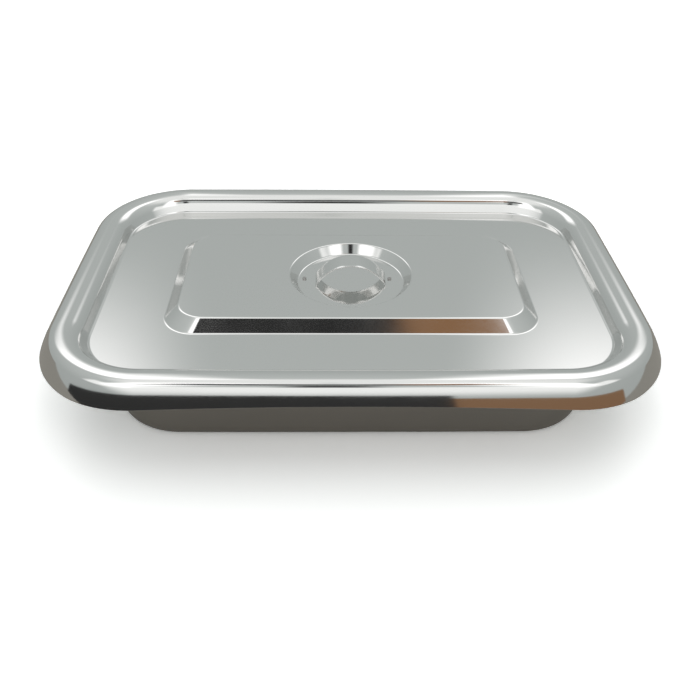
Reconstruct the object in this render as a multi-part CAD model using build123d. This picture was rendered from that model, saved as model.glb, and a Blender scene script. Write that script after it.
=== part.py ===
"""Covered instrument tray: a deep-drawn pan, a pressed lid that nests on its rim, and a strap handle.

Millimetres, +Z up, +X along the long side. The origin is the centre of the pan's base, on the
surface that the pan stands on. The lid is drawn closed, resting over the rim.
"""
from build123d import *
from math import asin, atan2, cos, degrees, radians, sin, sqrt, tan
import os

os.makedirs("parts", exist_ok=True)

# Sheet metal and fits
sheet = 0.6  # thickness of the pan and the lid
strap_sheet = 0.8  # thickness of the handle strap
rim_clearance = 0.4  # gap between the pan's rim and the underside of the lid

# Flat panel of the lid, inside the bead
panel_length = 262.2
panel_width = 165.0
panel_corner = 32.0
side_bow = 1.2  # how far the middle of each long side stands out
end_bow = 0.5  # the same on the short sides
panel_height = 45.2  # top of the panel above the pan's base

# Bead around the lid, from the panel outwards
bend_radius = 1.5
inner_wall_angle = 63.0  # steepness of the wall that rises from the panel
inner_wall_height = 3.0
inner_shoulder_radius = 10.0
crown_run = 4.8  # width of the gently crowned top
crown_tilt = 10.2  # slope at each edge of the crown
outer_shoulder_radius = 6.8
skirt_start_angle = 55.6
skirt_end_angle = 68.0
skirt_radius = 56.0
skirt_drop = 3.7  # lid's cut edge below the panel at the corners
skirt_rise = 3.2  # how much higher the cut edge is in the middle of the long sides

# Raised field in the middle of the lid
field_length = 181.2
field_width = 88.0
field_corner = 13.9
field_rise = 5.6
field_slope = 6.9  # plan width of the slope round the field
field_foot_corner = 17.2
field_edge_radius = 1.8

# Round dish that the handle sits in
dish_radius = 33.8
dish_floor_radius = 29.4
dish_depth = 5.1
dish_edge_radius = 1.5

dish_floor_height = field_rise - dish_depth  # above the panel

# Strap handle
strap_width = 12.2
ear_width = 14.8
ear_corner = 6.4  # rounding of the ears' outer corners
ear_clearance = 0.9  # from the tip of an ear to the edge of the dish floor
arch_foot = 17.6  # half distance between the two feet of the arch
arch_shoulder = 15.1  # half distance between the two shoulders
arch_shoulder_height = 6.3
arch_height = 12.5  # top of the arch above the dish floor
foot_bend_radius = 1.0
shoulder_bend_radius = 3.0
neck_radius = 0.6  # rounding of each side of the step between ear and arch
neck_gap = 1.2  # from the foot of the arch to that step
handle_offset = 1.0  # the strap is welded a little behind the centre of the dish

# Spot welds
weld_radius = 1.1
weld_left = 25.8  # from the middle of the strap to the left weld
weld_right = 21.8  # and to the right weld
weld_offset = 2.2  # the welds lie behind the centre of the dish
weld_dimple = 0.12  # how far the electrode has pressed the weld in

# Pan below the rim
end_lean = 9.0  # how far the base lies inside the panel's edge at each end
side_lean = 7.5  # and along each side
pan_length = panel_length - 2 * end_lean
pan_width = panel_width - 2 * side_lean
pan_corner = 34.0
pan_base_radius = 4.5
rim_skirt_turn = 3.5  # how far the rim's own skirt bends before its curl
curl_radius = 1.5
curl_turn = 200.0

near = 0.1  # two sizes this close belong to the same edge or face


def direction(angle):
    """Unit vector at an angle above +X, in the profile's plane."""
    return cos(radians(angle)), sin(radians(angle))


def bent_line(start, angle, moves):
    """Edges of straight runs and tangent arcs; a move is ("run", length) or ("bend", radius, turn)."""
    edges, point = [], start
    for move in moves:
        if move[0] == "run":
            dx, dy = direction(angle)
            end = (point[0] + dx * move[1], point[1] + dy * move[1])
            edges.append(Line(point, end))
        else:
            radius, turn = move[1], move[2]
            edges.append(JernArc(point, direction(angle), radius, turn))
            side = 1 if turn > 0 else -1
            dx, dy = direction(angle)
            centre = (point[0] - side * radius * dy, point[1] + side * radius * dx)
            angle += turn
            dx, dy = direction(angle)
            end = (centre[0] + side * radius * dy, centre[1] - side * radius * dx)
        point = end
    return edges, point


def bowed_rectangle(length, width, corner, spread=0.0):
    """Face of a rounded rectangle whose sides bow out a little, grown outwards by spread."""
    half_x, half_y = length / 2, width / 2
    long_radius = (half_x ** 2 + side_bow ** 2) / (2 * side_bow)
    end_radius = (half_y ** 2 + end_bow ** 2) / (2 * end_bow)
    top_x, top_y = half_x + end_bow + spread, half_y + side_bow + spread
    long_depth = long_radius + spread - top_y
    end_depth = end_radius + spread - top_x
    # The corner before rounding is where the two grown side arcs cross
    offset_y = (long_radius + spread) ** 2 - (end_radius + spread) ** 2 - long_depth ** 2 + end_depth ** 2
    offset_y /= 2 * long_depth
    lean = end_depth / long_depth
    half_b = end_depth + lean * offset_y
    rest = end_depth ** 2 + offset_y ** 2 - (end_radius + spread) ** 2
    corner_x = (sqrt(half_b ** 2 - (1 + lean ** 2) * rest) - half_b) / (1 + lean ** 2)
    corner_y = offset_y + lean * corner_x
    sides = [
        ThreePointArc((-corner_x, corner_y), (0, top_y), (corner_x, corner_y)),
        ThreePointArc((corner_x, corner_y), (top_x, 0), (corner_x, -corner_y)),
        ThreePointArc((corner_x, -corner_y), (0, -top_y), (-corner_x, -corner_y)),
        ThreePointArc((-corner_x, -corner_y), (-top_x, 0), (-corner_x, corner_y)),
    ]
    outline = make_face(Wire(sides))
    return fillet(outline.vertices(), corner + spread)


def panel_outline(spread=0.0):
    """Face of the panel's outline, grown outwards by spread."""
    return bowed_rectangle(panel_length, panel_width, panel_corner, spread)


def swept_round_panel(profile):
    """Carries a profile, drawn as (outwards from the panel, height), round the panel's outline."""
    path = panel_outline().faces()[0].outer_wire()
    start = Vector(0, panel_width / 2 + side_bow, 0)
    plane = Plane(origin=start, x_dir=(0, 1, 0), z_dir=(1, 0, 0))
    return sweep(plane * profile, path=path)


def bead_moves(drop, start_angle=0.0, skirt_turn=skirt_end_angle - skirt_start_angle):
    """Moves along the bead's surface, or along a surface that lies drop below it."""
    crown_radius = crown_run / 2 / sin(radians(crown_tilt))
    rise = [
        ("bend", bend_radius + drop, inner_wall_angle),
        ("run", inner_wall_height / sin(radians(inner_wall_angle))),
    ]
    over = [
        ("bend", inner_shoulder_radius - drop, crown_tilt - max(inner_wall_angle, start_angle)),
        ("bend", crown_radius - drop, -2 * crown_tilt),
        ("bend", outer_shoulder_radius - drop, crown_tilt - skirt_start_angle),
        ("bend", skirt_radius - drop, -skirt_turn),
    ]
    return over if start_angle else rise + over


def lid_bead():
    """Pressed bead and skirt: one bent strip of sheet, carried round the panel and trimmed."""
    top, top_end = bent_line((0, 0), 0, bead_moves(0))
    under, under_end = bent_line((0, -sheet), 0, bead_moves(sheet))
    section = make_face(Wire(top + [Line(top_end, under_end)] + under + [Line((0, -sheet), (0, 0))]))
    bead = swept_round_panel(section)
    reach, below = panel_length, -panel_height
    left, right = (-panel_length / 2, -skirt_drop), (panel_length / 2, -skirt_drop)
    edge = ThreePointArc(left, (0, skirt_rise - skirt_drop), right)
    waste = make_face(Wire([
        edge,
        Line(right, (reach, -skirt_drop)),
        Line((reach, -skirt_drop), (reach, below)),
        Line((reach, below), (-reach, below)),
        Line((-reach, below), (-reach, -skirt_drop)),
        Line((-reach, -skirt_drop), left),
    ]))
    waste = extrude(Plane.XZ * waste, amount=panel_width, both=True)
    kept = extrude(Pos(0, 0, below) * panel_outline(crown_run), amount=2 * reach)
    return bead - (waste - kept)


def circles(body, radius):
    """Circular edges of a body that have the given radius."""
    return body.edges().filter_by(GeomType.CIRCLE).filter_by(lambda edge: abs(edge.radius - radius) < near)


def lid_middle(drop):
    """Solid under the panel, raised field and dish, or under a surface that lies drop below them."""
    slope_angle = atan2(field_rise, field_slope)
    field_shift = drop * tan(slope_angle / 2)
    dish_angle = atan2(dish_depth, dish_radius - dish_floor_radius)
    dish_shift = drop * tan(dish_angle / 2)
    depth = field_rise + 2 * sheet
    slab = extrude(Pos(0, 0, -drop) * panel_outline(), amount=-depth)
    foot = RectangleRounded(
        field_length + 2 * field_slope - 2 * field_shift,
        field_width + 2 * field_slope - 2 * field_shift,
        field_foot_corner - field_shift)
    crest = RectangleRounded(
        field_length - 2 * field_shift,
        field_width - 2 * field_shift,
        field_corner - field_shift)
    field = loft([Pos(0, 0, -drop) * foot, Pos(0, 0, field_rise - drop) * crest], ruled=True)
    body = slab + field
    crest_edges = body.faces().sort_by(Axis.Z)[-1].edges()
    body = fillet(crest_edges, field_edge_radius - drop)
    panel_faces = body.faces().filter_by(Plane.XY).filter_by(lambda face: abs(face.center().Z + drop) < near)
    body = fillet(panel_faces[0].inner_wires()[0].edges(), field_edge_radius + drop)
    dish = Pos(0, 0, field_rise - dish_depth / 2 - drop) * Cone(
        dish_floor_radius + dish_shift, dish_radius + dish_shift, dish_depth)
    body = body - dish
    body = fillet(circles(body, dish_radius + dish_shift), dish_edge_radius - drop)
    return fillet(circles(body, dish_floor_radius + dish_shift), dish_edge_radius + drop)


def weld_bars(bottom, top):
    """Round bars at the two welds, between two heights."""
    bar = Cylinder(weld_radius, top - bottom, align=(Align.CENTER, Align.CENTER, Align.MIN))
    return [Pos(x, weld_offset, bottom) * bar for x in (-weld_left, weld_right)]


def make_lid():
    """One pressed sheet: panel, raised field, dish and bead, with the two weld holes."""
    middle = lid_middle(0) - lid_middle(sheet)
    lid = middle + lid_bead()
    for bar in weld_bars(dish_floor_height - 2 * sheet, dish_floor_height + sheet):
        lid -= bar
    return lid


def make_handle():
    """Stamped strap: two flat ears on the dish floor, steep risers and a shallow arch."""
    rise = arch_height - arch_shoulder_height
    arch_radius = (arch_shoulder ** 2 + rise ** 2) / (2 * rise)
    tip = dish_floor_radius - ear_clearance
    left, right = (-arch_shoulder, arch_shoulder_height), (arch_shoulder, arch_shoulder_height)
    spine = Wire([
        Line((-tip, strap_sheet), (-arch_foot, strap_sheet)),
        Line((-arch_foot, strap_sheet), left),
        RadiusArc(left, right, arch_radius),
        Line(right, (arch_foot, strap_sheet)),
        Line((arch_foot, strap_sheet), (tip, strap_sheet)),
    ])
    shoulders = spine.vertices().filter_by(lambda vertex: abs(vertex.Y - arch_shoulder_height) < near)
    spine = spine.fillet_2d(shoulder_bend_radius, shoulders)
    feet = spine.vertices().filter_by(lambda vertex: abs(abs(vertex.X) - arch_foot) < near)
    spine = spine.fillet_2d(foot_bend_radius, feet)
    section = offset(spine, amount=strap_sheet, side=Side.RIGHT, closed=True)
    strip = extrude(Plane.XZ * make_face(section), amount=ear_width, both=True)
    neck = arch_foot + neck_gap
    plan = Rectangle(2 * neck, strap_width)
    for side in (-1, 1):
        plan += Pos(side * (neck + tip) / 2, 0) * Rectangle(tip - neck, ear_width)
    plan = fillet(plan.vertices().filter_by(lambda vertex: abs(abs(vertex.X) - tip) < near), ear_corner)
    plan = fillet(plan.vertices().filter_by(lambda vertex: abs(abs(vertex.X) - neck) < near), neck_radius)
    plan = extrude(plan, amount=2 * arch_height)
    strap = strip & plan
    strap = Pos(0, handle_offset, dish_floor_height) * strap
    for bar in weld_bars(dish_floor_height - sheet, dish_floor_height + 2 * strap_sheet):
        strap -= bar
    return strap


def make_welds():
    """Two weld nuggets that fill the holes through the ears and the dish floor."""
    bars = weld_bars(dish_floor_height - sheet, dish_floor_height + strap_sheet - weld_dimple)
    return bars[0] + bars[1]


def rim_section():
    """Section of the pan's rim, with the steepness of the pan's wall and the rim's foot.

    The rim follows the underside of the lid's bead from the shoulder to the skirt, and ends in a curl.
    The foot is where the wall meets the rim: two distances outwards from the panel, and a height.
    """
    moves = bead_moves(0)
    (outwards, height) = bent_line((0, 0), 0, moves[:2])[1]
    lean_x, lean_z = direction(inner_wall_angle)
    centre = (outwards + inner_shoulder_radius * lean_z, height - inner_shoulder_radius * lean_x)
    top_drop = sheet + rim_clearance
    under_radius = inner_shoulder_radius - top_drop - sheet
    base = ((pan_length - panel_length) / 2, -panel_height)
    to_centre = (centre[0] - base[0], centre[1] - base[1])
    distance = sqrt(to_centre[0] ** 2 + to_centre[1] ** 2)
    wall_angle = degrees(atan2(to_centre[1], to_centre[0]) + asin(under_radius / distance))
    run, climb = direction(wall_angle)
    starts = [
        (centre[0] - radius * climb, centre[1] + radius * run)
        for radius in (under_radius + sheet, under_radius)
    ]
    foot_height = starts[1][1]
    foot_inside = (starts[0][0] - (starts[0][1] - foot_height) * run / climb, foot_height)
    lines = []
    for start, drop in zip(starts, (top_drop, top_drop + sheet)):
        over = bead_moves(drop, wall_angle, rim_skirt_turn)
        curl = [("bend", curl_radius + top_drop + sheet - drop, -curl_turn)]
        lines.append(bent_line(start, wall_angle, over + curl))
    (top, top_end), (under, under_end) = lines
    edges = [Line(foot_inside, starts[0])] + top + [Line(top_end, under_end)] + under
    edges.append(Line(starts[1], foot_inside))
    return make_face(Wire(edges)), wall_angle, foot_inside, starts[1]


def make_pan():
    """Deep-drawn pan: a flat base, leaning walls with round corners, and the nesting rim."""
    section, wall_angle, foot_inside, foot_outside = rim_section()
    inset = sheet * tan(radians(wall_angle / 2))
    outside = bowed_rectangle(pan_length, pan_width, pan_corner)
    inside = bowed_rectangle(pan_length - 2 * inset, pan_width - 2 * inset, pan_corner - inset)
    hulls = []
    for base, height, foot, radius in (
        (outside, -panel_height, foot_outside, pan_base_radius),
        (inside, sheet - panel_height, foot_inside, pan_base_radius - sheet),
    ):
        hull = loft([Pos(0, 0, height) * base, Pos(0, 0, foot[1]) * panel_outline(foot[0])], ruled=True)
        hulls.append(fillet(hull.faces().sort_by(Axis.Z)[0].edges(), radius))
    return hulls[0] - hulls[1] + swept_round_panel(section)


nodes = {
    "tray_pan": make_pan(),
    "lid_shell": make_lid(),
    "handle_strap": make_handle(),
    "spot_welds": make_welds(),
}
for name, shape in nodes.items():
    export_step(Pos(0, 0, panel_height) * shape, "parts/" + name + ".step")
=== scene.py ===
"""Looks of a covered instrument tray in polished steel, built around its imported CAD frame.

Lid, pan and strap are drawn again as dense smooth shells, because polished steel shows every facet
in what it mirrors. Sections are traced as runs and bends, carried round outlines in plan and
thickened to closed sheets. Sizes are in millimetres and repeat the CAD source's named values. The
meshes are in metres in the frame's own axes: +X along the long side, +Z up, the origin under the
pan's middle.
"""
import logging
from abc import ABC, abstractmethod
from dataclasses import dataclass
from enum import Enum
from math import asin, atan2, cos, degrees, hypot, pi, radians, sin, sqrt, tan
from typing import Callable, Sequence

import bpy
import numpy as np
from mathutils import Matrix, Vector


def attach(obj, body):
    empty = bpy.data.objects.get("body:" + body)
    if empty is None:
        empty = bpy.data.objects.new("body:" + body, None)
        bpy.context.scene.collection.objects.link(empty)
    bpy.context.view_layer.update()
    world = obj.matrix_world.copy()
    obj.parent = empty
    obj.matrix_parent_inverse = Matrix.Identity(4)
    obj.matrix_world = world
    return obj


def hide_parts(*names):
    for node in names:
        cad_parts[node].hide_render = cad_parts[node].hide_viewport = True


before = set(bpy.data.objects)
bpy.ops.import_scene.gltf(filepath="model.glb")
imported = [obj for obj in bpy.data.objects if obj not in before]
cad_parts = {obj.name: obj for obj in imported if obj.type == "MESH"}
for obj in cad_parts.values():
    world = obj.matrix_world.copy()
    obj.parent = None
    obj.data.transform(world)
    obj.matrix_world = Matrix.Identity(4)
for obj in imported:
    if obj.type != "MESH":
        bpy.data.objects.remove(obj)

LOG = logging.getLogger("tray")
MM = 0.001

Colour = tuple[float, float, float, float]


# Sizes, in millimetres and degrees, as in the CAD source


@dataclass(frozen=True)
class Sheet:
    """Sheet metal and the fit between pan and lid."""

    thickness: float = 0.6
    strap: float = 0.8
    clearance: float = 0.4


@dataclass(frozen=True)
class Panel:
    """Flat panel of the lid, inside the bead."""

    length: float = 262.2
    width: float = 165.0
    corner: float = 32.0
    side_bow: float = 1.2
    end_bow: float = 0.5
    height: float = 45.2


@dataclass(frozen=True)
class Bead:
    """Pressed bead and skirt round the panel."""

    bend_radius: float = 1.5
    wall_angle: float = 63.0
    wall_height: float = 3.0
    shoulder_radius: float = 10.0
    crown_run: float = 4.8
    crown_tilt: float = 10.2
    outer_radius: float = 6.8
    skirt_start: float = 55.6
    skirt_end: float = 68.0
    skirt_radius: float = 56.0
    skirt_drop: float = 3.7
    skirt_rise: float = 3.2

    @property
    def wall_run(self) -> float:
        """Length of the straight inner wall along its slope."""
        return self.wall_height / sin(radians(self.wall_angle))

    @property
    def crown_radius(self) -> float:
        """Radius of the gently crowned top."""
        return self.crown_run / 2 / sin(radians(self.crown_tilt))


@dataclass(frozen=True)
class Field:
    """Raised rectangular field of the lid."""

    length: float = 181.2
    width: float = 88.0
    corner: float = 13.9
    rise: float = 5.6
    slope: float = 6.9
    foot_corner: float = 17.2
    edge_radius: float = 1.8


@dataclass(frozen=True)
class Dish:
    """Round dish in the middle of the field."""

    radius: float = 33.8
    floor_radius: float = 29.4
    depth: float = 5.1
    edge_radius: float = 1.5


@dataclass(frozen=True)
class Strap:
    """Strap handle with two flat ears."""

    width: float = 12.2
    ear_width: float = 14.8
    ear_corner: float = 6.4
    ear_clearance: float = 0.9
    arch_foot: float = 17.6
    shoulder: float = 15.1
    shoulder_height: float = 6.3
    arch_height: float = 12.5
    foot_bend: float = 1.0
    shoulder_bend: float = 3.0
    neck_radius: float = 0.6
    neck_gap: float = 1.2
    offset: float = 1.0


@dataclass(frozen=True)
class Pan:
    """Deep-drawn pan below its rim."""

    length: float = 244.2
    width: float = 150.0
    corner: float = 34.0
    base_radius: float = 4.5
    rim_turn: float = 3.5
    curl_radius: float = 1.5
    curl_turn: float = 200.0


SHEET, PANEL, BEAD, FIELD, DISH = Sheet(), Panel(), Bead(), Field(), Dish()
STRAP, PAN = Strap(), Pan()
DISH_FLOOR = FIELD.rise - DISH.depth


# Sections


@dataclass(frozen=True)
class Run:
    """Straight stretch of a section."""

    length: float
    steps: int = 1


@dataclass(frozen=True)
class Bend:
    """Tangent arc of a section; a positive turn bends it upwards."""

    radius: float
    turn: float
    steps: int = 8


def trace(out: float, height: float, heading: float, moves: Sequence[Run | Bend]) -> np.ndarray:
    """Follows a section from the middle of a sheet outwards.

    Args:
        out: First distance outwards.
        height: First height.
        heading: First direction above the horizontal, in degrees.
        moves: Runs and bends in order.

    Returns:
        One row a sample: distance outwards, height, and heading in radians.
    """
    angle = radians(heading)
    rows = [(out, height, angle)]
    for move in moves:
        if isinstance(move, Run):
            for step in range(1, move.steps + 1):
                reach = move.length * step / move.steps
                rows.append((out + reach * cos(angle), height + reach * sin(angle), angle))
        else:
            radius = move.radius if move.turn > 0 else -move.radius
            centre_out, centre_height = out - radius * sin(angle), height + radius * cos(angle)
            for step in range(1, move.steps + 1):
                now = angle + radians(move.turn) * step / move.steps
                reached = centre_out + radius * sin(now)
                rows.append((reached, centre_height - radius * cos(now), now))
        out, height, angle = rows[-1]
    return np.array(rows)


def bead_moves(drop: float = 0.0) -> tuple[Bend, Bend, Bend]:
    """Bends over the bead, drop below the lid's surface: inner shoulder, crown and outer edge."""
    return (
        Bend(BEAD.shoulder_radius - drop, BEAD.crown_tilt - BEAD.wall_angle, 14),
        Bend(BEAD.crown_radius - drop, -2 * BEAD.crown_tilt, 8),
        Bend(BEAD.outer_radius - drop, BEAD.crown_tilt - BEAD.skirt_start, 10),
    )


# Outlines in plan

SOLVER_STEPS = 20
LEAST_BOW = 0.001  # a straight side is drawn as one that bows by this much


@dataclass(frozen=True)
class Stations:
    """Points round a ring: on each end, each long side and each corner."""

    end: int = 40
    side: int = 72
    corner: int = 36

    @property
    def total(self) -> int:
        """Points on a whole ring."""
        return 2 * (self.end + self.side) + 4 * self.corner


STATIONS = Stations()


@dataclass(frozen=True)
class Outline:
    """Closed ring of points in plan, anticlockwise, with the outward direction at each."""

    points: np.ndarray
    outward: np.ndarray

    @property
    def along(self) -> np.ndarray:
        """Horizontal direction along the ring at each point, in three dimensions."""
        x, y = self.outward.T
        return np.column_stack([-y, x, np.zeros(len(x))])

    def grown(self, spread: float | np.ndarray) -> "Outline":
        """The concentric ring that lies spread further out; the spread may differ by station."""
        shift = np.asarray(spread)[..., None] if np.ndim(spread) else spread
        return Outline(self.points + self.outward * shift, self.outward)


def rounded_rectangle(
    length: float, width: float, corner: float, side_bow: float = 0.0, end_bow: float = 0.0
) -> Outline:
    """Rounded rectangle whose sides may bow outwards.

    Args:
        length: Size along X before the ends bow out.
        width: Size along Y before the sides bow out.
        corner: Radius of the corners.
        side_bow: How far the middle of a long side stands out.
        end_bow: How far the middle of an end stands out.

    Returns:
        The ring, starting at the lower end of the +X side.
    """
    half_x, half_y = length / 2, width / 2
    side_bow, end_bow = max(side_bow, LEAST_BOW), max(end_bow, LEAST_BOW)
    side_radius = (half_x ** 2 + side_bow ** 2) / (2 * side_bow)
    end_radius = (half_y ** 2 + end_bow ** 2) / (2 * end_bow)
    side_y, end_x = half_y + side_bow - side_radius, half_x + end_bow - end_radius

    # Newton's method finds the corner's centre, where its arc touches both bowed sides
    x, y = half_x - corner, half_y - corner
    for _ in range(SOLVER_STEPS):
        to_side, to_end = hypot(x, y - side_y), hypot(x - end_x, y)
        miss = np.array([to_side - side_radius + corner, to_end - end_radius + corner])
        slope = np.array([
            [x / to_side, (y - side_y) / to_side], [(x - end_x) / to_end, y / to_end]])
        x, y = np.array([x, y]) - np.linalg.solve(slope, miss)
    side_lean, end_lean = atan2(x, y - side_y), atan2(y, x - end_x)

    arcs = []
    for turn, flip in ((0.0, 1), (pi, -1)):
        side = turn + pi / 2
        arcs += [
            ((flip * end_x, 0.0), end_radius, turn - end_lean, turn + end_lean, STATIONS.end),
            ((flip * x, flip * y), corner, turn + end_lean, side - side_lean, STATIONS.corner),
            ((0.0, flip * side_y), side_radius, side - side_lean, side + side_lean, STATIONS.side),
            ((-flip * x, flip * y), corner, side + side_lean, turn + pi - end_lean, STATIONS.corner),
        ]
    points, outward = [], []
    for centre, radius, start, end, count in arcs:
        angles = np.linspace(start, end, count, endpoint=False)
        unit = np.stack([np.cos(angles), np.sin(angles)], axis=1)
        points.append(np.array(centre) + radius * unit)
        outward.append(unit)
    return Outline(np.concatenate(points), np.concatenate(outward))


def circle(radius: float) -> Outline:
    """Round ring whose points pair with those of a rounded rectangle."""
    angles = 2 * pi * (np.arange(STATIONS.total) - STATIONS.end / 2) / STATIONS.total
    unit = np.stack([np.cos(angles), np.sin(angles)], axis=1)
    return Outline(radius * unit, unit)


def between(inner: Outline, outer: Outline) -> Callable[[float], Outline]:
    """Family of rings that runs from an inner ring at 0 to an outer one at 1."""
    return lambda part: Outline(inner.points * (1 - part) + outer.points * part, outer.outward)


def panel_outline() -> Outline:
    """Plan of the lid's panel, which bead and rim are grown from."""
    return rounded_rectangle(PANEL.length, PANEL.width, PANEL.corner, PANEL.side_bow, PANEL.end_bow)


# Meshes

TINY = 1e-6  # step for an outline's derivative
EDGE_STEPS = 8
EDGE_FULLNESS = 0.6  # exponent of the cut edge's section: 1 is an ellipse, less is squarer
EDGE_SWELL = 0.5  # how far the cut edge stands out, as a part of half the thickness


def unit_rows(rows: np.ndarray) -> np.ndarray:
    """Scales each row to length one."""
    return rows / np.linalg.norm(rows, axis=1, keepdims=True)


def ring_faces(rings: int, count: int) -> list[tuple[int, ...]]:
    """Quads between neighbouring rings of count points each."""
    faces = []
    for first in range(0, (rings - 1) * count, count):
        second = first + count
        for at in range(count):
            after = (at + 1) % count
            faces.append((first + at, second + at, second + after, first + after))
    return faces


def make_piece(
    name: str,
    points: np.ndarray,
    faces: Sequence[Sequence[int]],
    normals: np.ndarray | None = None,
    level: float = PANEL.height,
) -> bpy.types.Object:
    """Makes a smooth mesh object.

    Args:
        name: Name of the piece.
        points: Vertices, in millimetres.
        faces: Vertex numbers of each face.
        normals: Unit normals at the vertices, where the true ones are known.
        level: Height of the points' zero above the table; the panel's plane by default.

    Returns:
        The object, at the origin, with its place in its mesh.
    """
    mesh = bpy.data.meshes.new(name)
    lifted = (points + np.array([0, 0, level])) * MM
    mesh.from_pydata(lifted.tolist(), [], [list(face) for face in faces])
    mesh.validate()
    mesh.polygons.foreach_set("use_smooth", [True] * len(mesh.polygons))
    if normals is not None:
        mesh.normals_split_custom_set_from_vertices(normals.tolist())
    mesh.update()
    piece = bpy.data.objects.new(name, mesh)
    bpy.context.scene.collection.objects.link(piece)
    return piece


class Skin:
    """Upper face of a sheet: rings from its middle to its edge, with the true normals."""

    def __init__(self) -> None:
        """Starts with no rings."""
        self.rings: list[np.ndarray] = []
        self.normals: list[np.ndarray] = []
        self.leads: list[np.ndarray] = []

    def add(
        self, plan: np.ndarray, height: np.ndarray | float, lead: np.ndarray, along: np.ndarray
    ) -> None:
        """Adds one ring.

        Args:
            plan: Points in plan.
            height: Heights of the points.
            lead: Directions in which the sheet runs outwards.
            along: Directions along the ring.
        """
        heights = np.broadcast_to(np.asarray(height, dtype=float), (len(plan),))
        self.rings.append(np.column_stack([plan, heights]))
        self.normals.append(unit_rows(np.cross(lead, along)))
        self.leads.append(unit_rows(lead))

    def zone(self, shape: Callable[[float | np.ndarray], Outline], samples: Sequence) -> None:
        """Adds the rings of a section that is carried round a family of outlines.

        Args:
            shape: Gives the outline at a distance outwards.
            samples: Rows of distance, height and heading, each a number or one a station.
        """
        for out, height, heading in samples:
            here = shape(out)
            outward = (shape(out + TINY).points - shape(out - TINY).points) / (2 * TINY)
            run = outward * np.asarray(np.cos(heading))[..., None]
            climb = np.broadcast_to(np.sin(heading), (len(run),))
            self.add(here.points, height, np.column_stack([run, climb]), here.along)

    def level_zone(
        self, shape: Callable[[float], Outline], parts: Sequence[float], height: float
    ) -> None:
        """Adds level rings of a family of outlines at the given distances outwards."""
        self.zone(shape, [(part, height, 0.0) for part in parts])

    def shell(self, name: str) -> bpy.types.Object:
        """Closed sheet under the skin, with a softened cut edge.

        Args:
            name: Name of the piece.

        Returns:
            The piece, with its true normals kept.
        """
        normal, lead = self.normals[-1], self.leads[-1]
        middle = self.rings[-1] - normal * SHEET.thickness / 2
        edge = []
        for step in range(1, EDGE_STEPS):
            angle = pi * step / EDGE_STEPS
            up = np.sign(cos(angle)) * abs(cos(angle)) ** EDGE_FULLNESS
            swell = sin(angle) ** EDGE_FULLNESS * EDGE_SWELL
            edge.append((
                middle + SHEET.thickness / 2 * (up * normal + swell * lead),
                cos(angle) * normal + sin(angle) * lead,
            ))
        top = list(zip(self.rings, self.normals))
        under = [(ring - unit * SHEET.thickness, -unit) for ring, unit in reversed(top)]
        loops = top + edge + under

        poles = [loops[row][0].mean(axis=0, keepdims=True) for row in (0, -1)]
        pole_normals = [np.array([[0, 0, 1.0]]), np.array([[0, 0, -1.0]])]
        points = np.concatenate([ring for ring, _ in loops] + poles)
        normals = np.concatenate([unit for _, unit in loops] + pole_normals)
        count = len(middle)
        last_row = (len(loops) - 1) * count
        upper, lower = len(points) - 2, len(points) - 1
        faces = ring_faces(len(loops), count)
        for at in range(count):
            after = (at + 1) % count
            faces.append((upper, at, after))
            faces.append((lower, last_row + after, last_row + at))
        return make_piece(name, points, faces, normals)


# Materials


class Graph:
    """Short way to write a node tree."""

    def __init__(self, tree: bpy.types.NodeTree) -> None:
        """Starts from an emptied tree."""
        self.tree = tree
        tree.nodes.clear()

    def put(self, socket: bpy.types.NodeSocket, value) -> None:
        """Links an output socket to an input, or sets the input's value."""
        if isinstance(value, bpy.types.NodeSocket):
            self.tree.links.new(value, socket)
        else:
            socket.default_value = value

    def node(self, kind: str, inputs: dict | None = None, **settings) -> bpy.types.Node:
        """Adds a node.

        Args:
            kind: Node type.
            inputs: Values or output sockets for its inputs, by name or number.
            settings: Properties of the node.

        Returns:
            The node.
        """
        made = self.tree.nodes.new(kind)
        for key, value in settings.items():
            setattr(made, key, value)
        for key, value in (inputs or {}).items():
            self.put(made.inputs[key], value)
        return made

    def math(self, operation: str, first, second=0.0) -> bpy.types.NodeSocket:
        """Result of a Math node."""
        return self.node("ShaderNodeMath", {0: first, 1: second}, operation=operation).outputs[0]

    def ramp(self, value, low: float, high: float, start=0.0, end=1.0) -> bpy.types.NodeSocket:
        """Smooth step of a value from start at low to end at high."""
        inputs = {0: value, 1: low, 2: high, 3: start, 4: end}
        return self.node("ShaderNodeMapRange", inputs, interpolation_type="SMOOTHSTEP").outputs[0]

    def blend(self, factor, first, second) -> bpy.types.NodeSocket:
        """Mixes two colours."""
        made = self.node("ShaderNodeMix", {0: factor, 6: first, 7: second}, data_type="RGBA")
        return made.outputs[2]


def grey(value: float) -> Colour:
    """Neutral linear colour with full alpha."""
    return (value, value, value, 1.0)


def colour(red: float, green: float, blue: float) -> Colour:
    """Linear colour with full alpha."""
    return (red, green, blue, 1.0)


def new_material(name: str) -> tuple[bpy.types.Material, Graph]:
    """Empty material, with the graph that writes it."""
    material = bpy.data.materials.new(name)
    material.use_nodes = True
    return material, Graph(material.node_tree)


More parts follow.
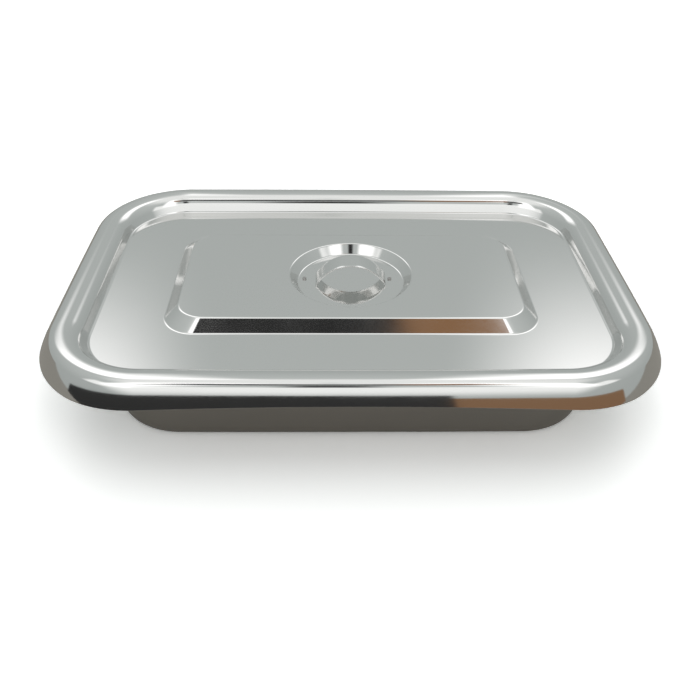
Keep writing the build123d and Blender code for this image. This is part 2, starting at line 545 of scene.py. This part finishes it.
@dataclass(frozen=True)
class PolishedSteel:
    """Polished stainless sheet: its tint, haze and the slow waves of a pressed surface."""

    name: str
    tint: Colour
    roughness: float
    haze: float
    wave_depth: float  # in millimetres
    cloud_scale: float = 22.0  # this and the next two are per metre
    grain_scale: float = 900.0
    wave_scale: float = 30.0
    grain_share: float = 0.3
    haze_range: tuple[float, float] = (0.35, 0.95)

    def build(self) -> bpy.types.Material:
        """Makes the material."""
        material, graph = new_material(self.name)
        place = graph.node("ShaderNodeTexCoord").outputs["Object"]

        def noise(scale: float, detail: float) -> bpy.types.NodeSocket:
            """Noise in the piece's own space."""
            inputs = {"Vector": place, "Scale": scale, "Detail": detail}
            return graph.node("ShaderNodeTexNoise", inputs).outputs[0]

        clouds, grain = noise(self.cloud_scale, 4.0), noise(self.grain_scale, 3.0)
        mottle = graph.math("ADD", clouds, graph.math("MULTIPLY", grain, self.grain_share))
        rough = graph.ramp(mottle, *self.haze_range, self.roughness, self.roughness + self.haze)
        bump = graph.node("ShaderNodeBump", {
            "Height": noise(self.wave_scale, 1.0), "Strength": 1.0, "Distance": self.wave_depth * MM})
        shader = graph.node("ShaderNodeBsdfPrincipled", {
            "Base Color": self.tint, "Metallic": 1.0, "Roughness": rough, "Normal": bump.outputs[0]})
        graph.node("ShaderNodeOutputMaterial", {0: shader.outputs[0]})
        return material


LID_STEEL = PolishedSteel("lid_steel_polish", colour(0.72, 0.72, 0.71), 0.05, 0.05, 0.02)
PAN_STEEL = PolishedSteel("pan_steel_polish", colour(0.66, 0.65, 0.63), 0.08, 0.07, 0.03)
STRAP_STEEL = PolishedSteel("handle_steel_polish", colour(0.72, 0.72, 0.71), 0.06, 0.05, 0.01)
WELD_STEEL = PolishedSteel("weld_steel_dull", colour(0.42, 0.41, 0.40), 0.28, 0.15, 0.01)


# Pieces of the tray


class Piece(ABC):
    """Piece that is drawn again in place of a CAD node."""

    node: str
    body: str
    slot: str
    finish: PolishedSteel

    @abstractmethod
    def build(self) -> bpy.types.Object:
        """Builds the piece's mesh object."""

    def install(self) -> None:
        """Builds the piece, gives it its material and hands it to the frame."""
        piece = self.build()
        piece.data.materials.append(self.finish.build())
        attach(piece, self.body)
        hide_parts(self.node)
        LOG.info("%s: %d faces", piece.name, len(piece.data.polygons))


class Lid(Piece):
    """Pressed lid: dish, raised field, panel, bead and skirt in one sheet."""

    node, body, slot, finish = "lid_shell", "lid", "lid_steel", LID_STEEL
    DISH_PARTS = (0.12, 0.35, 0.6, 0.85)
    FIELD_PARTS = (0.25, 0.5, 0.75)
    PANEL_PARTS = (0.2, 0.4, 0.6, 0.8)
    SKIRT_STEPS = 12
    TRIM_STEPS = 4

    def dish_section(self) -> np.ndarray:
        """Section from the dish's floor to the field's top."""
        across = DISH.radius - DISH.floor_radius
        wall = degrees(atan2(DISH.depth, across))
        setback = DISH.edge_radius * tan(radians(wall / 2))
        run = hypot(DISH.depth, across) - 2 * setback
        return trace(DISH.floor_radius - setback, DISH_FLOOR, 0, [
            Bend(DISH.edge_radius, wall, 9), Run(run, 2), Bend(DISH.edge_radius, -wall, 9)])

    def field_section(self) -> np.ndarray:
        """Section down the field's slope, from its crest."""
        slope = degrees(atan2(FIELD.rise, FIELD.slope))
        setback = FIELD.edge_radius * tan(radians(slope / 2))
        run = hypot(FIELD.rise, FIELD.slope) - 2 * setback
        return trace(-setback, FIELD.rise, 0, [
            Bend(FIELD.edge_radius, -slope), Run(run, 2), Bend(FIELD.edge_radius, slope)])

    def field_outline(self, out: float) -> Outline:
        """Outline of the raised field at a distance outwards from its crest."""
        corner = FIELD.corner + (FIELD.foot_corner - FIELD.corner) * out / FIELD.slope
        return rounded_rectangle(FIELD.length + 2 * out, FIELD.width + 2 * out, corner)

    def skirt(self, start: np.ndarray, outline: Outline) -> list[tuple]:
        """Rows of the skirt, which ends higher in the middle of the long sides.

        Args:
            start: Distance, height and heading at the skirt's top.
            outline: The panel's outline.

        Returns:
            Rows of distance, height and heading, one value a station.
        """
        out, height, heading = start
        lean = -heading
        half = PANEL.length / 2
        arc_radius = (half ** 2 + BEAD.skirt_rise ** 2) / (2 * BEAD.skirt_rise)
        turn = np.full(STATIONS.total, radians(BEAD.skirt_end - BEAD.skirt_start))
        for _ in range(self.TRIM_STEPS):
            reach = out + BEAD.skirt_radius * (np.sin(lean + turn) - sin(lean))
            x = np.clip(outline.grown(reach).points[:, 0], -half, half)
            lift = np.sqrt(arc_radius ** 2 - x ** 2) - arc_radius
            trim = BEAD.skirt_rise - BEAD.skirt_drop + lift
            turn = np.arccos(cos(lean) - (height - trim) / BEAD.skirt_radius) - lean
        rows = []
        for step in range(1, self.SKIRT_STEPS + 1):
            now = lean + turn * step / self.SKIRT_STEPS
            rows.append((
                out + BEAD.skirt_radius * (np.sin(now) - sin(lean)),
                height - BEAD.skirt_radius * (cos(lean) - np.cos(now)),
                -now,
            ))
        return rows

    def build(self) -> bpy.types.Object:
        """Builds the lid's closed shell, from the dish outwards."""
        dish, field, outline = self.dish_section(), self.field_section(), panel_outline()
        lip, crest = circle(dish[-1, 0]), self.field_outline(field[0, 0])
        foot = self.field_outline(field[-1, 0])
        rise = trace(0, 0, 0, [
            Bend(BEAD.bend_radius, BEAD.wall_angle, 14), Run(BEAD.wall_run, 2), *bead_moves()])
        skin = Skin()
        skin.level_zone(circle, [part * dish[0, 0] for part in self.DISH_PARTS], DISH_FLOOR)
        skin.zone(circle, dish)
        skin.level_zone(between(lip, crest), self.FIELD_PARTS, FIELD.rise)
        skin.zone(self.field_outline, field)
        skin.level_zone(between(foot, outline), self.PANEL_PARTS, 0.0)
        skin.zone(outline.grown, rise)
        skin.zone(outline.grown, self.skirt(rise[-1], outline))
        return skin.shell("lid_shell_sheet")


class Tray(Piece):
    """Deep-drawn pan: base, leaning wall and the rim that nests under the lid's bead."""

    node, body, slot, finish = "tray_pan", "pan", "pan_steel", PAN_STEEL
    BASE_PARTS = (0.1, 0.3, 0.5, 0.7, 0.9, 1.0)
    WALL_PARTS = (0.12, 0.25, 0.38, 0.5, 0.62, 0.75, 0.88)
    BASE_BEND_STEPS = 8

    def rim(self) -> tuple[np.ndarray, float]:
        """Section of the rim's upper face from its foot, and the wall's lean there in radians."""
        foot = trace(0, 0, 0, [Bend(BEAD.bend_radius, BEAD.wall_angle, 1), Run(BEAD.wall_run)])
        out, height, heading = foot[-1]
        centre = np.array([
            out + BEAD.shoulder_radius * sin(heading), height - BEAD.shoulder_radius * cos(heading)])
        drop = SHEET.thickness + SHEET.clearance
        top = BEAD.shoulder_radius - drop
        reach = centre - np.array([(PAN.length - PANEL.length) / 2, -PANEL.height])
        lean = atan2(reach[1], reach[0]) + asin((top - SHEET.thickness) / np.linalg.norm(reach))
        start = centre + top * np.array([-sin(lean), cos(lean)])
        _, crown, outer = bead_moves(drop)
        return trace(start[0], start[1], degrees(lean), [
            Bend(top, BEAD.crown_tilt - degrees(lean), 12),
            crown,
            outer,
            Bend(BEAD.skirt_radius - drop, -PAN.rim_turn, 3),
            Bend(PAN.curl_radius + SHEET.thickness, -PAN.curl_turn, 24),
        ]), lean

    def build(self) -> bpy.types.Object:
        """Builds the pan's closed shell, from its base outwards."""
        rim, lean = self.rim()
        outline = panel_outline()
        inset = SHEET.thickness * tan(lean / 2)
        base = rounded_rectangle(
            PAN.length - 2 * inset, PAN.width - 2 * inset, PAN.corner - inset,
            PANEL.side_bow, PANEL.end_bow)
        mouth = outline.grown(rim[0, 0])
        floor = SHEET.thickness - PANEL.height
        across = mouth.points - base.points
        spread = np.linalg.norm(across, axis=1)
        level = across / spread[:, None]
        wall = np.arctan2(rim[0, 1] - floor, spread)
        radius = PAN.base_radius - SHEET.thickness
        foot = base.points - level * (radius * np.tan(wall / 2))[:, None]
        skin = Skin()

        def ring(plan: np.ndarray, height: np.ndarray | float, heading: np.ndarray) -> None:
            """Adds a ring whose sheet climbs at the given heading towards the mouth."""
            lead = np.column_stack([level * np.cos(heading)[:, None], np.sin(heading)])
            skin.add(plan, height, lead, base.along)

        for part in self.BASE_PARTS:
            ring(foot * part, floor, np.zeros(len(level)))
        for step in range(1, self.BASE_BEND_STEPS + 1):
            now = wall * step / self.BASE_BEND_STEPS
            low = foot + level * (radius * np.sin(now))[:, None]
            low_height = floor + radius * (1 - np.cos(now))
            ring(low, low_height, now)
        for part in self.WALL_PARTS:
            climb = (rim[0, 1] - low_height) * part
            ring(low + (mouth.points - low) * part, low_height + climb, wall)
        skin.zone(outline.grown, rim)
        return skin.shell("pan_sheet")


class Handle(Piece):
    """Strap handle: two ears and an arch bent from one strip."""

    node, body, slot, finish = "handle_strap", "lid", "handle_steel", STRAP_STEEL
    EDGE = 0.22  # radius of the strip's long edges
    BEND_STEPS = 3
    FLAT_PARTS = (0.75, 0.5, 0.25, 0, -0.25, -0.5, -0.75)
    TIP = DISH.floor_radius - STRAP.ear_clearance

    def spine(self) -> np.ndarray:
        """Upper line of the strap from its middle to the tip of an ear: x, height and heading."""
        rise = STRAP.arch_height - STRAP.shoulder_height
        arch_radius = (STRAP.shoulder ** 2 + rise ** 2) / (2 * rise)
        hub = np.array([0.0, STRAP.arch_height - arch_radius])
        riser = atan2(STRAP.shoulder_height - SHEET.strap, STRAP.arch_foot - STRAP.shoulder)
        normal, along = np.array([sin(riser), cos(riser)]), np.array([cos(riser), -sin(riser)])

        # The shoulder's bend touches the riser, and the arch from inside
        inner = arch_radius - STRAP.shoulder_bend
        level = np.array([STRAP.shoulder, STRAP.shoulder_height]) @ normal - STRAP.shoulder_bend
        reach = sqrt(inner ** 2 - (level - hub @ normal) ** 2)
        bend_centre = normal * level + along * (hub @ along + reach)
        meet = atan2(bend_centre[0], bend_centre[1] - hub[1])

        riser_start = bend_centre + STRAP.shoulder_bend * normal
        foot_setback = STRAP.foot_bend * tan(riser / 2)
        riser_run = (np.array([STRAP.arch_foot, SHEET.strap]) - riser_start) @ along - foot_setback
        ear_run = self.TIP - STRAP.arch_foot - foot_setback
        return trace(0, STRAP.arch_height, 0, [
            Bend(arch_radius, -degrees(meet), 24),
            Bend(STRAP.shoulder_bend, degrees(meet - riser), 10),
            Run(riser_run, 3),
            Bend(STRAP.foot_bend, degrees(riser), 8),
            Run(ear_run, 40),
        ])

    def half_width(self, x: float) -> float:
        """Half the strap's width at a distance from its middle."""
        neck = STRAP.arch_foot + STRAP.neck_gap
        step = (STRAP.ear_width - STRAP.width) / 2
        part = min(max((x - neck + STRAP.neck_radius) / (2 * STRAP.neck_radius), 0), 1)
        half = STRAP.width / 2 + step * part * part * (3 - 2 * part)
        into = x - (self.TIP - STRAP.ear_corner)
        if into > 0:
            half -= STRAP.ear_corner - sqrt(max(STRAP.ear_corner ** 2 - into ** 2, 0))
        return max(half, 2 * self.EDGE)

    def section(self, half: float) -> list[tuple[float, float]]:
        """Points round the strip's section: across it, and up from its upper face."""
        edge, bottom = self.EDGE, SHEET.strap - self.EDGE
        points = []
        for across, down, start in (
            (half - edge, edge, 0), (edge - half, edge, 90),
            (edge - half, bottom, 180), (half - edge, bottom, 270),
        ):
            for step in range(self.BEND_STEPS + 1):
                angle = radians(start + 90 * step / self.BEND_STEPS)
                points.append((across + edge * cos(angle), -down + edge * sin(angle)))
            if start in (0, 180):
                points += [(across * part, points[-1][1]) for part in self.FLAT_PARTS]
        return points

    def build(self) -> bpy.types.Object:
        """Builds the strap as one closed piece."""
        line = self.spine()
        line = np.concatenate([line[:0:-1] * np.array([-1, 1, -1]), line])
        rings = np.array([
            [
                (x - up * sin(heading), across, height + up * cos(heading))
                for across, up in self.section(self.half_width(abs(x)))
            ]
            for x, height, heading in line
        ]) + np.array([0, STRAP.offset, DISH_FLOOR])
        count = rings.shape[1]
        last_row = (len(rings) - 1) * count
        faces = ring_faces(len(rings), count)
        faces.append(tuple(range(count)))
        faces.append(tuple(last_row + at for at in reversed(range(count))))
        return make_piece("handle_strip", rings.reshape(-1, 3), faces)


# Studio


@dataclass(frozen=True)
class Shot:
    """Camera that stands where the photograph's did, in millimetres and degrees."""

    tilt: float = 36.416
    swing: float = -1.774
    roll: float = 1.076
    distance: float = 476.13
    shift: float = 0.39
    aim_drop: float = 47.456  # from the panel down to the height that it aims at
    sensor: float = 36.0
    lens: float = 36.0 * 801.92 / 700
    clip_start: float = 0.01
    clip_end: float = 50.0


class Facing(Enum):
    """Side of the room that a patch lies on, by the sign of its Y."""

    FRONT = -1
    BACK = 1


@dataclass(frozen=True)
class Patch:
    """Soft-edged patch of light or shade in the room, placed by angles in degrees."""

    facing: Facing
    turn: float
    half_width: float
    low: float
    high: float
    softness: float
    shade: Colour


@dataclass(frozen=True)
class Card:
    """Upright card in front of the tray that only shows in reflections, in metres."""

    name: str
    left: float
    right: float
    top: float
    shade: Colour
    distance: float = 0.42


SHOT = Shot()
PATCHES = (
    Patch(Facing.BACK, 0, 180, 66, 100, 10, colour(1.05, 1.06, 1.05)),  # overhead light
    Patch(Facing.BACK, -30, 13, 33, 70, 7, grey(1.6)),  # soft light, back left
    Patch(Facing.BACK, 30, 13, 33, 70, 7, grey(1.6)),  # soft light, back right
    Patch(Facing.FRONT, 0, 70, 24, 46, 4, colour(1.15, 1.16, 1.15)),  # light over the cards
    Patch(Facing.FRONT, -38, 18, 34, 75, 6, grey(1.6)),  # soft light, front left
    Patch(Facing.FRONT, 36, 14, 34, 75, 6, grey(1.6)),  # soft light, front right
    Patch(Facing.FRONT, -8, 24, 61, 70, 2, grey(0.03)),  # dark strip
    Patch(Facing.FRONT, 22, 9, 61, 70, 2, colour(0.30, 0.16, 0.08)),  # warm strip
    Patch(Facing.FRONT, 0, 5.5, 45, 58, 3, grey(0.03)),  # small dark patch
)
CARDS = (
    Card("card_dark", -1.8, 0.10, 0.185, grey(0.035)),
    Card("card_warm", 0.10, 0.9, 0.165, colour(0.26, 0.15, 0.085)),
)
ROOM_LOW, ROOM_HIGH = colour(0.46, 0.49, 0.48), colour(0.64, 0.67, 0.66)
ROOM_RISE = (-5.0, 80.0)  # heights between which the room brightens, in degrees
WHITE = grey(1.0)
FLOOR_HALF = 6.0  # in metres
# The table's colour in reflections is a darker, warmer copy: painted shade, not the table's own
# colour.
FLOOR_LIT, FLOOR_SEEN, FLOOR_PAINTED_SHADE = grey(0.8), grey(1.5), colour(0.36, 0.34, 0.31)


class Studio:
    """Camera, table top, cards and room: none of it is part of the tray."""

    def camera(self) -> None:
        """Sets the photograph's viewing angle."""
        tilt, swing, roll = radians(SHOT.tilt), radians(SHOT.swing), radians(SHOT.roll)
        back = Vector((sin(swing) * cos(tilt), -cos(swing) * cos(tilt), sin(tilt)))
        right = Vector((cos(swing), sin(swing), 0))
        up = back.cross(right)
        level, rise = right * cos(roll) + up * sin(roll), up * cos(roll) - right * sin(roll)
        aim = Vector((0, 0, PANEL.height - SHOT.aim_drop))
        data = bpy.data.cameras.new("camera")
        data.sensor_width, data.lens = SHOT.sensor, SHOT.lens
        data.clip_start, data.clip_end = SHOT.clip_start, SHOT.clip_end
        eye = bpy.data.objects.new("camera", data)
        eye.matrix_world = Matrix((level, rise, back)).transposed().to_4x4()
        eye.location = (back * SHOT.distance + right * SHOT.shift + aim) * MM
        bpy.context.scene.collection.objects.link(eye)
        bpy.context.scene.camera = eye

    def board(
        self, name: str, corners: Sequence[Sequence[float]], paint: bpy.types.Material
    ) -> None:
        """Adds a flat board of the studio, with its corners in metres."""
        piece = make_piece(name, np.array(corners) / MM, [(0, 1, 2, 3)], level=0.0)
        piece.data.materials.append(paint)

    def floor(self) -> None:
        """Pale table top, bright to the camera; the steel sees it darker and warmer, as painted shade
        of the table under the tray.
        """
        material, graph = new_material("table_white")
        seen = graph.node("ShaderNodeLightPath").outputs
        shade = graph.blend(seen["Is Camera Ray"], FLOOR_LIT, FLOOR_SEEN)
        # Glossy rays get the darker table colour: painted shade in the steel's reflections.
        shade = graph.blend(seen["Is Glossy Ray"], shade, FLOOR_PAINTED_SHADE)
        shader = graph.node("ShaderNodeBsdfDiffuse", {"Color": shade})
        graph.node("ShaderNodeOutputMaterial", {0: shader.outputs[0]})
        half = FLOOR_HALF
        self.board(
            "table_top", [(-half, -half, 0), (half, -half, 0), (half, half, 0), (-half, half, 0)],
            material)

    def cards(self) -> None:
        """Stands the cards in front of the tray; nothing but reflections sees them."""
        for card in CARDS:
            material, graph = new_material(card.name)
            seen = graph.node("ShaderNodeLightPath").outputs["Is Glossy Ray"]
            clear = graph.node("ShaderNodeBsdfTransparent").outputs[0]
            paint = graph.node("ShaderNodeEmission", {"Color": card.shade}).outputs[0]
            mixed = graph.node("ShaderNodeMixShader", {0: seen, 1: clear, 2: paint}).outputs[0]
            graph.node("ShaderNodeOutputMaterial", {0: mixed})
            y = -card.distance
            self.board(card.name, [
                (card.left, y, 0), (card.right, y, 0), (card.right, y, card.top),
                (card.left, y, card.top)], material)

    def room(self) -> None:
        """World around the tray: white to the camera, soft lights and shades to the steel."""
        world = bpy.data.worlds.new("room")
        bpy.context.scene.world = world
        world.use_nodes = True
        graph = Graph(world.node_tree)
        place = graph.node("ShaderNodeTexCoord").outputs["Generated"]
        axes = graph.node("ShaderNodeSeparateXYZ", {0: place}).outputs
        rise = graph.math("DEGREES", graph.math("ARCSINE", axes[2]))
        turns = {
            facing: graph.math("DEGREES", graph.math(
                "ARCTAN2", axes[0], graph.math("MULTIPLY", axes[1], float(facing.value))))
            for facing in Facing
        }
        shade = graph.blend(graph.ramp(rise, *ROOM_RISE), ROOM_LOW, ROOM_HIGH)
        for patch in PATCHES:
            soft = patch.softness
            across = graph.math("ABSOLUTE", graph.math("SUBTRACT", turns[patch.facing], patch.turn))
            inside = graph.ramp(across, patch.half_width - soft, patch.half_width + soft, 1.0, 0.0)
            above = graph.ramp(rise, patch.low - soft, patch.low + soft)
            below = graph.ramp(rise, patch.high - soft, patch.high + soft, 1.0, 0.0)
            cover = graph.math("MULTIPLY", inside, graph.math("MULTIPLY", above, below))
            shade = graph.blend(cover, shade, patch.shade)
        seen = graph.node("ShaderNodeLightPath").outputs["Is Camera Ray"]
        sky = graph.node("ShaderNodeBackground", {"Color": graph.blend(seen, shade, WHITE)})
        graph.node("ShaderNodeOutputWorld", {0: sky.outputs[0]})

    def build(self) -> None:
        """Sets up the whole studio."""
        self.camera()
        self.floor()
        self.cards()
        self.room()
        bpy.context.scene.view_settings.view_transform = "Standard"


def main() -> None:
    """Builds every piece and the studio."""
    logging.basicConfig(level=logging.INFO, format="%(name)s: %(message)s")
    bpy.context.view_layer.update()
    for piece in (Lid(), Tray(), Handle()):
        piece.install()
    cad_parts["spot_welds"].data.materials[0] = WELD_STEEL.build()
    Studio().build()


if __name__ == "__main__":
    main()
